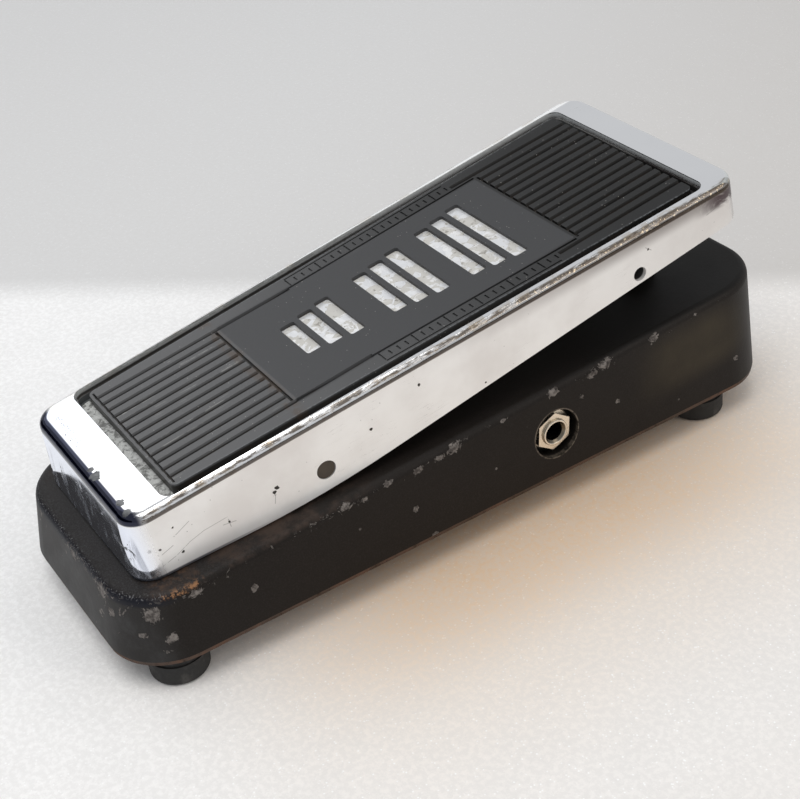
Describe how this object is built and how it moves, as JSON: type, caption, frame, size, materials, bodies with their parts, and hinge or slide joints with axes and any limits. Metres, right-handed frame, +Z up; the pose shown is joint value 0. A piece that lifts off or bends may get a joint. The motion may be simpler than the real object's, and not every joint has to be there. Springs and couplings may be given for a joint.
{
  "type": "volume pedal",
  "caption": "Foot-operated volume pedal: black cast base, chromed rocking treadle with a ribbed rubber mat, and a rack and pinion that turns the control inside.",
  "frame": {"origin": "on the floor, under the middle of the base", "axes": "+Y points to the toe end, +X to the player's right (the input jack's side), +Z up"},
  "size_m": [0.094, 0.252, 0.0918],
  "materials": {
    "black_paint": "fine textured satin, chipped along the top edge",
    "plate_steel": "aged, dull, brown with rust at the rim",
    "foot_rubber": "matt moulded",
    "stop_rubber": "matt moulded",
    "zinc_steel": "dull zinc plate",
    "bracket_steel": "dull plate",
    "pin_steel": "dark, worn",
    "bush_brass": "dull",
    "jack_nickel": "bright nickel plate, a little tarnished",
    "jack_board": "brown pressed board",
    "spring_metal": "tinned spring brass",
    "pot_can": "dull pressed can",
    "white_nylon": "natural nylon",
    "shaft_metal": "turned",
    "treadle_chrome": "mirror plate with pits and worn edges",
    "old_glue": "rough grey residue",
    "silver_foil": "crumpled bright foil with grime",
    "mat_rubber": "satin moulded, dusty in the ribs",
    "wire_red": "insulated lead",
    "wire_grey": "insulated lead"
  },
  "bodies": {
    "base": {"base_housing": "black_paint", "bottom_plate": "plate_steel", "rubber_feet": "foot_rubber", "foot_washers": "zinc_steel", "foot_screws": "zinc_steel", "hinge_bracket": "bracket_steel", "bracket_screws": "zinc_steel", "bracket_nuts": "zinc_steel", "hinge_bushes": "bush_brass", "pivot_washers": "white_nylon", "heel_bumper": "stop_rubber", "toe_bumpers": "stop_rubber", "input_jack_sleeve": "jack_nickel", "input_jack_washer": "jack_nickel", "input_jack_nut": "jack_nickel", "input_jack_stack": "jack_board", "input_jack_springs": "spring_metal", "output_jack_sleeve": "jack_nickel", "output_jack_washer": "jack_nickel", "output_jack_nut": "jack_nickel", "output_jack_stack": "jack_board", "output_jack_springs": "spring_metal", "pot_bracket": "bracket_steel", "pot_bracket_screws": "zinc_steel", "pot_bracket_nuts": "zinc_steel", "pot_body": "pot_can", "pot_terminals": "spring_metal", "pot_washer": "zinc_steel", "pot_nut": "jack_nickel", "rack_guide": "white_nylon", "guide_screws": "zinc_steel", "input_wire": "wire_red", "output_wire": "wire_grey"},
    "treadle": {"treadle_casting": "treadle_chrome", "pivot_pin": "pin_steel", "pivot_clips": "zinc_steel", "link_rod": "pin_steel", "link_clips": "zinc_steel", "mat_glue": "old_glue", "foil_inlays": "silver_foil", "rubber_mat": "mat_rubber"},
    "rack": {"gear_rack": "white_nylon"},
    "control_shaft": {"pot_shaft": "shaft_metal", "pinion_gear": "white_nylon"}
  },
  "joints": [
    {"name": "treadle_rock", "type": "hinge", "parent": "base", "child": "treadle", "pos_m": [0, -0.05095, 0.04831], "axis": [-1, 0, 0], "range_deg": [0, 8.8]},
    {"name": "rack_lift", "type": "slide", "parent": "base", "child": "rack", "axis": [0, 0, 1], "range_m": [-0.0186, 0]},
    {"name": "control_turn", "type": "hinge", "parent": "base", "child": "control_shaft", "pos_m": [0, 0.0609, 0.0348], "axis": [-1, 0, 0], "range_deg": [0, 178]}
  ],
  "couplings": [
    {"joint": "rack_lift", "follows": "treadle_rock", "m_per_rad": -0.1202},
    {"joint": "control_turn", "follows": "treadle_rock", "ratio": 20.033}
  ]
}
